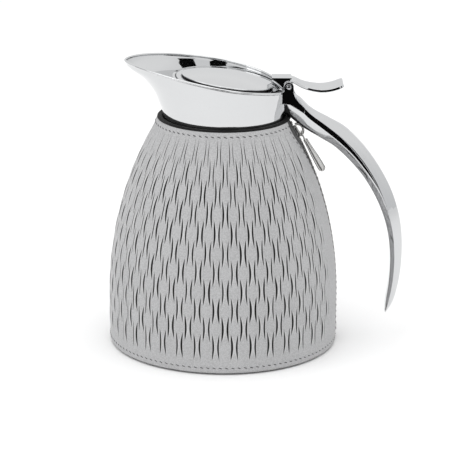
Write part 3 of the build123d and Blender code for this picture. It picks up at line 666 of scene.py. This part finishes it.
def headPoint(turn, z, inset):
    # one point of the head's outline at a height, by angle from the handle side
    share = curveThrough(head["form"], z, 1)
    wide = curveThrough(head["form"], z, 2)
    middle = -3 * wide
    reach = head["neck"] + (head["reach"] - head["neck"]) * share + middle - inset
    back = head["neck"] + (head["back"] - head["neck"]) * wide - middle - inset
    half = head["neck"] + (head["half"] - head["neck"]) * wide - inset
    taper, power = 2 - 0.4 * share, 0.5 + 0.1 * share
    along, across = np.cos(turn), np.sin(turn)
    front = np.abs(np.minimum(along, 0)) ** (2 / taper)
    width = np.maximum(1 - front ** taper, 0) ** power
    x = np.where(along >= 0, middle + back * along, middle - reach * front)
    y = np.where(along >= 0, half * across, np.sign(across) * half * width)
    return x, y


def rimHeight(x):
    return curveThrough(head["rim"], x, 1)


def buildHead():
    h = head
    turn = np.linspace(0, 2 * np.pi, h["around"], endpoint=False) + np.pi / h["around"]
    top = np.full(len(turn), 178.0)
    for k in range(60):        # settle on the height where the wall meets the rim line
        x, y = headPoint(turn, top, 0)
        top = top + 0.6 * (rimHeight(x) - top)
    rings = []
    for t in np.linspace(0, 1, 34) ** 0.9:
        z = h["low"] + (top - 0.9 - h["low"]) * t
        x, y = headPoint(turn, z, 0)
        rings.append(np.stack([x, y, z], -1))
    edge = rings[-1]
    ahead = np.roll(edge, -1, 0) - np.roll(edge, 1, 0)
    outward = np.stack([ahead[:, 1], -ahead[:, 0], np.zeros(len(turn))], -1)
    outward /= np.linalg.norm(outward, axis=1, keepdims=True)
    upward = np.array([0, 0, 1.0])
    for a in np.radians(np.linspace(-70, 230, 13)):
        rings.append(edge + outward * (-0.15 + h["lip"] * math.cos(a)) + upward * (0.75 + h["lip"] * math.sin(a)))
    for t in np.linspace(1, 0, 26):
        z = h["innerLow"] + (top - 1.4 - h["innerLow"]) * t
        x, y = headPoint(turn, z, h["sheet"])
        rings.append(np.stack([x, y, z], -1))
    points = np.array(rings)
    piece = makeMesh("pouringHead", points.reshape(-1, 3) * mm, gridFaces(len(rings), len(turn), True))
    piece.data.materials.append(mirrorSteel)
    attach(piece, "flask")
    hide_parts("spout_head")


buildHead()
print("head done")

# lid
lid = {
    "x": 2.6, "z": 173.6, "tilt": 8.2,                  # middle of the flange, and its tilt in degrees
    "flangeA": 33.8, "flangeB": 38.5,                   # half length and half width
    "domeX": -0.6, "domeA": 29.8, "domeB": 26.2,
    "edge": 2.0, "cap": 4.3, "roll": 0.45, "around": 160,
}


def lidPlace(x, y, z):
    tilt = math.radians(lid["tilt"])
    return np.stack([lid["x"] + x * math.cos(tilt) + z * math.sin(tilt), y,
                     lid["z"] - x * math.sin(tilt) + z * math.cos(tilt)], -1)


def ovalRings(name, rings, material, closeTop=True):
    # rings are (shift, half length, half width, height) in the lid's own tilted frame
    count = lid["around"]
    turn = np.linspace(0, 2 * np.pi, count, endpoint=False)
    points = [lidPlace(s + a * np.cos(turn), b * np.sin(turn), np.full(count, float(z))) for s, a, b, z in rings]
    faces = list(map(tuple, gridFaces(len(rings), count, True)))
    points = np.array(points).reshape(-1, 3)
    if closeTop:
        s, a, b, z = rings[-1]
        points = np.concatenate([points, lidPlace(np.array([s]), np.array([0.0]), np.array([float(z)]))], 0)
        last = (len(rings) - 1) * count
        faces += [(last + k, last + (k + 1) % count, len(points) - 1) for k in range(count)]
    piece = makeMesh(name, points * mm, faces)
    piece.data.materials.append(material)
    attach(piece, "lid")
    return piece


def buildLid():
    d = lid
    rings = []
    for z, out in ((0.9, -0.9), (d["edge"] - 1.0, -0.25), (d["edge"] - 0.8, 0.0)):
        rings.append((d["domeX"], d["domeA"] + out, d["domeB"] + out, z))
    for a in np.radians(np.linspace(-60, 80, 8)):       # rolled edge
        out = d["roll"] * math.cos(a) - d["roll"] + 0.2
        rings.append((d["domeX"], d["domeA"] + out, d["domeB"] + out, d["edge"] + d["roll"] * (math.sin(a) - 1)))
    for t in np.linspace(0.985, 0.02, 26):
        height = d["edge"] + d["cap"] * (1 - t ** 2)
        rings.append((d["domeX"] * t, (d["domeA"] - 0.2) * t, (d["domeB"] - 0.2) * t, height))
    dome = ovalRings("lidDome", rings, mirrorSteel)
    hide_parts("lid_dome")
    rings = [(0.0, d["flangeA"] - a, d["flangeB"] - b, z) for a, b, z in
             ((1, 1, -0.8), (0, 0, -0.5), (0, 0, -0.1), (0.4, 0.4, 0.15), (1.5, 2, 0.2))]
    rings += [(d["domeX"], d["domeA"] + out, d["domeB"] + out, z) for out, z in ((1.2, 0.2), (-1.0, 0.2), (-1.2, -0.4))]
    flange = ovalRings("lidFlange", rings, mirrorSteel, False)
    wall = [(d["domeX"], d["domeA"] + out, d["domeB"] + out, z) for out, z in
            ((-0.9, 0.1), (-0.35, 0.15), (-0.3, 0.9), (-0.35, 1.3), (-1.2, 1.35))]
    ring = ovalRings("lidBaseRing", wall, lidBlack, False)


buildLid()
print("lid done")

# handle
handle = {
    # x, z, lean from upright, thickness, width share, top band, side facet
    "stations": ((34, 162.5, 12, 13, 1, 1.2, 2.6), (44, 158.4, 25, 13.6, 1, 1.4, 3.0),
                 (54, 150.2, 30, 12.6, 1, 1.9, 3.1), (64.1, 144.4, 31, 13.2, 1, 3.6, 3.4),
                 (74.2, 138.5, 35, 13.6, 0.98, 5.6, 3.4), (84.4, 129.2, 46, 13.2, 0.96, 6.5, 2.5),
                 (95.4, 115.4, 58, 12.2, 0.93, 6.8, 1.8), (104.8, 98.6, 68, 11.2, 0.90, 6.9, 0.4),
                 (111.2, 78.6, 78, 9.6, 0.87, 6.0, 0.25), (113.2, 58, 90, 8, 0.84, 5.0, 0.25),
                 (112, 39, 98, 6.6, 0.78, 4.0, 0.25), (109, 24, 106, 4.2, 0.66, 2.5, 0.25),
                 (107.4, 18.8, 112, 1.6, 0.50, 0.8, 0.2)),
    "steps": 120,
    "half": 8.5,                        # half the greatest width
    "round": 0.35,
    "pin": (41.4, 172.0), "earR": 3.2,
    "earIn": 6.3, "earOut": 8.53,       # inner and outer face of an ear, from the middle
    # outline of an ear below its round top
    "ear": ((44.7, 168.6), (45.7, 164.9), (48.4, 161.2), (52.4, 157.4), (51.5, 154.4), (47.1, 157.3), (42.3, 160.1),
            (37.2, 160.7), (37.7, 166)),
}


def roundCorners(points, radius):
    # each corner of a closed outline becomes a small arc with a support point each side
    out = []
    count = len(points)
    for k in range(count):
        before, here, after = (np.array(points[(k + d) % count], float) for d in (-1, 0, 1))
        a, b = before - here, after - here
        la, lb = np.linalg.norm(a), np.linalg.norm(b)
        r = min(radius, 0.3 * la, 0.3 * lb)
        p, q = here + a / la * r, here + b / lb * r
        out.append(here + a / la * min(2 * r, 0.45 * la))
        for t in (0, 0.33, 0.67, 1):
            out.append((1 - t) ** 2 * p + 2 * t * (1 - t) * here + t * t * q)
        out.append(here + b / lb * min(2 * r, 0.45 * lb))
    return out


def buildHandle():
    d = handle
    stations = np.array(d["stations"], float)
    chord = np.concatenate([[0], np.cumsum(np.hypot(np.diff(stations[:, 0]), np.diff(stations[:, 1])))])
    table = np.column_stack([chord, stations])
    rings = []
    for s in np.linspace(0, chord[-1], d["steps"]):
        x, z, lean, thick, share, band, facet = (float(curveThrough(table, s, c)) for c in range(1, 8))
        h, w = thick / 2, d["half"] * share
        band, facet = min(band, 0.75 * thick), max(facet, 0.15)
        low = max(h - band - facet, -0.9 * h)
        half = [(h - 0.03 * band, 0.30 * w), (h - 0.47 * band, 0.68 * w), (h - band, w), (low, w),
                (-h + 0.2 * (low + h), 0.8 * w), (-h, 0.62 * w)]
        outline = half + [(a, -b) for a, b in reversed(half)]
        outline = roundCorners(outline, d["round"])
        turn = math.radians(lean)
        out = (math.sin(turn), math.cos(turn))
        rings.append([(x + a * out[0], b, z + a * out[1]) for a, b in outline])
    body = closedTube("handleGrip", rings, "fan", True)
    # the two ears of the fork, flush with the side facets
    px, pz = d["pin"]
    arc = [(px + d["earR"] * math.cos(a), pz + d["earR"] * math.sin(a)) for a in np.radians(np.linspace(175, 5, 11))]
    outline = np.array(arc + list(d["ear"]))
    toward = outline - outline.mean(0)
    toward /= np.linalg.norm(toward, axis=1, keepdims=True)
    edges = ((d["earIn"], 0.3), (d["earIn"] + 0.3, 0.0), (d["earOut"] - 0.2, 0.0), (d["earOut"] - 0.06, 0.06),
             (d["earOut"], 0.2), (d["earOut"], 0.45))
    pieces = [body]
    for side, label in ((-1, "Near"), (1, "Far")):
        rows = []
        for y, inset in edges:
            ring = outline - toward * inset
            rows.append(np.column_stack([ring[:, 0], np.full(len(ring), side * y), ring[:, 1]]))
        pieces.append(closedTube("handleEar" + label, rows, "both", side < 0))
    for piece in pieces:
        piece.data.materials.append(handleChrome)
        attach(piece, "flask")
    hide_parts("handle")


buildHandle()
print("handle done")

# thumb lever
lever = {
    "start": 42.6, "end": 76.0,
    # place along the jug and height of the top, then place and half width
    "top": ((42.6, 177.0), (46.2, 175.6), (49.8, 173.7), (53.6, 172.3), (58, 171.4), (62.5, 171.0), (67.4, 171.5),
            (72, 172.8), (76, 174.5)),
    "width": ((42.6, 6.0), (47, 7.0), (52, 8.2), (58, 9.4), (66, 10.5), (76, 11.0)),
    "thick": 2.0, "corner": 3.2, "crown": 0.4, "round": 0.15,
    "endSlope": 0.42,
}


def buildLever():
    d = lever
    top = np.array(d["top"])
    turn = np.linspace(0, 0.5 * np.pi, 12)[1:]          # places get closer towards the round end
    places = np.concatenate([np.linspace(d["start"], d["end"] - 3.5, 44), d["end"] - 3.5 * (1 - np.sin(turn))])
    rings = []
    for x in places:
        z = float(curveThrough(top, x, 1))
        slope = float(curveThrough(top, x + 0.1, 1) - curveThrough(top, x - 0.1, 1)) / 0.2
        if x >= d["end"] - 0.2:
            slope = d["endSlope"]
        length = math.hypot(1, slope)
        down = (slope / length, -1 / length)
        near = max(0.0, d["corner"] - (d["end"] - x))
        half = float(curveThrough(d["width"], x, 1)) - d["corner"] + math.sqrt(max(0.0, d["corner"] ** 2 - near ** 2))
        crown, thick = d["crown"], d["thick"]
        side = [(half * 0.6, crown * 0.36), (half, crown), (half, crown + thick * 0.8),
                (half - 0.5, thick + crown * 0.8)]
        mirrored = [(-a, b) for a, b in side[::-1]]
        outline = mirrored[2:] + [(0, 0)] + side + [(0, thick)] + mirrored[:2]
        rings.append([(x + down[0] * b, a, z + down[1] * b) for a, b in roundCorners(outline, d["round"])])
    piece = closedTube("thumbLever", rings, "fan")
    piece.data.materials.append(handleChrome)
    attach(piece, "lid")
    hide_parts("thumb_lever")


buildLever()
print("lever done")

# zip pull
pull = {
    "ringX": 48.3, "ringZ": 141.9, "ringA": 4.3, "ringB": 3.0, "lean": 27.0,   # the bail's oval and its lean in degrees
    "wire": 0.62, "clear": 0.15,
    "tabTop": (52.4, 135.8), "tabEnd": (64.8, 114.2),
    "narrow": 1.5, "wide": 2.4, "thick": 1.2, "twist": 19.0,                   # half widths, and the twist in degrees
}


def buildPull():
    d = pull
    lean = math.radians(d["lean"])
    along, out = np.array([math.sin(lean), -math.cos(lean)]), np.array([math.cos(lean), math.sin(lean)])
    rings = []
    middle = np.array([d["ringX"], d["ringZ"]])
    for a in np.linspace(-0.5 * np.pi, 1.5 * np.pi, 56, endpoint=False):
        centre = middle + along * (d["ringA"] * math.cos(a)) + out * (d["ringB"] * math.sin(a))
        fromArc = math.hypot(centre[0] - form["arcCentre"], centre[1] - form["straight"]) - form["arcRadius"]
        if fromArc < d["wire"] + d["clear"]:     # the rest would lie in the teeth
            continue
        normal = along * (math.cos(a) / d["ringA"]) + out * (math.sin(a) / d["ringB"])
        normal /= np.linalg.norm(normal)
        ring = []
        for b in np.linspace(0, 2 * np.pi, 12, endpoint=False):
            place = centre + normal * (d["wire"] * math.cos(b))
            ring.append((place[0], d["wire"] * 1.3 * math.sin(b), place[1]))
        rings.append(ring)
    bail = closedTube("zipBail", rings)
    bail.data.materials.append(zipNickel)
    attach(bail, "zip_slider")
    # the tab: a flat drop with a raised rim, turned on its own length
    top, end = np.array(d["tabTop"]), np.array(d["tabEnd"])
    length = np.linalg.norm(end - top)
    axis = (end - top) / length
    side = np.array([-axis[1], axis[0]])
    twist = math.radians(d["twist"])
    steps = np.concatenate([[0.0, 0.012, 0.035], np.linspace(0.07, 0.86, 20), [0.90, 0.94, 0.97, 0.99, 1.0]])
    outline = []
    for t in steps:
        width = d["narrow"] + (d["wide"] - d["narrow"]) * float(smoothStep(0.05, 0.8, t))
        fromTop, fromEnd = t * length, (1 - t) * length
        width *= math.sqrt(max(0.02, 1 - max(0, 1 - fromTop / 0.9) ** 2))
        width *= math.sqrt(max(0.0025, 1 - max(0, 1 - fromEnd / d["wide"]) ** 2))
        outline.append((t * length, width))
    rows = []
    for distance, width in outline:
        h = d["thick"] / 2
        rise = min(0.35, width * 0.5)
        left = [(-width, 0), (-width + 0.1 * rise, 0.7 * h), (-width + rise, h), (-0.55 * (width - rise), 0.62 * h)]
        section = left + [(0, 0.55 * h)] + [(-a, b) for a, b in reversed(left)]
        section += [(a, -b) for a, b in reversed(section[1:-1])]
        row = []
        for a, b in section:
            aside, deep = a * math.cos(twist) - b * math.sin(twist), a * math.sin(twist) + b * math.cos(twist)
            place = top + axis * distance + side * aside
            row.append((place[0], deep, place[1]))
        rows.append(row)
    tab = closedTube("zipPullTab", rows)
    tab.data.materials.append(zipNickel)
    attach(tab, "zip_tab")
    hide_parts("zip_pull_tab")


buildPull()
print("zip pull done")

# hinge pin caps
caps = {"place": (41.4, 172.0), "radius": 2.0, "height": 1.0, "start": 8.7, "shoulder": 0.25}


def buildPinCaps():
    d = caps
    turn = np.linspace(0, 2 * np.pi, 32, endpoint=False)
    for side, label in ((-1, "Near"), (1, "Far")):
        shoulder = d["start"] + d["shoulder"]
        dome = d["height"] - d["shoulder"]
        outline = [(d["radius"], d["start"]), (d["radius"], shoulder)]
        outline += [(d["radius"] * math.cos(a), shoulder + dome * math.sin(a))
                    for a in np.radians(np.linspace(15, 88, 7))]
        x, z = d["place"]
        rings = [[(x + r * math.cos(t), side * y, z + r * math.sin(t)) for t in turn] for r, y in outline]
        cap = closedTube("pinCap" + label, rings, "top", side < 0)
        cap.data.materials.append(screwSteel)
        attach(cap, "flask")


buildPinCaps()
print("pin caps done")

# dark boards that the bright metal mirrors
boards = {
    # start and end in degrees from the front towards the handle; low edge, high edge and distance in metres
    "frontBoard": (-9, 22, 0.02, 0.95, 1.15),
    "rightBoard": (43, 66, 0.02, 0.6, 1.15),
    "leftBoard": (-100, -52, 0.02, 0.36, 1.1),
}
for name, (start, end, low, high, away) in boards.items():
    (x1, y1), (x2, y2) = [(away * math.sin(math.radians(a)), -away * math.cos(math.radians(a))) for a in (start, end)]
    addCard(name, [(x1, y1, low), (x2, y2, low), (x2, y2, high), (x1, y1, high)])
addCard("floorBoard", [(-0.4, -1.2, 0.002), (0.42, -1.2, 0.002), (0.42, -0.34, 0.002), (-0.4, -0.34, 0.002)])
print("boards placed")
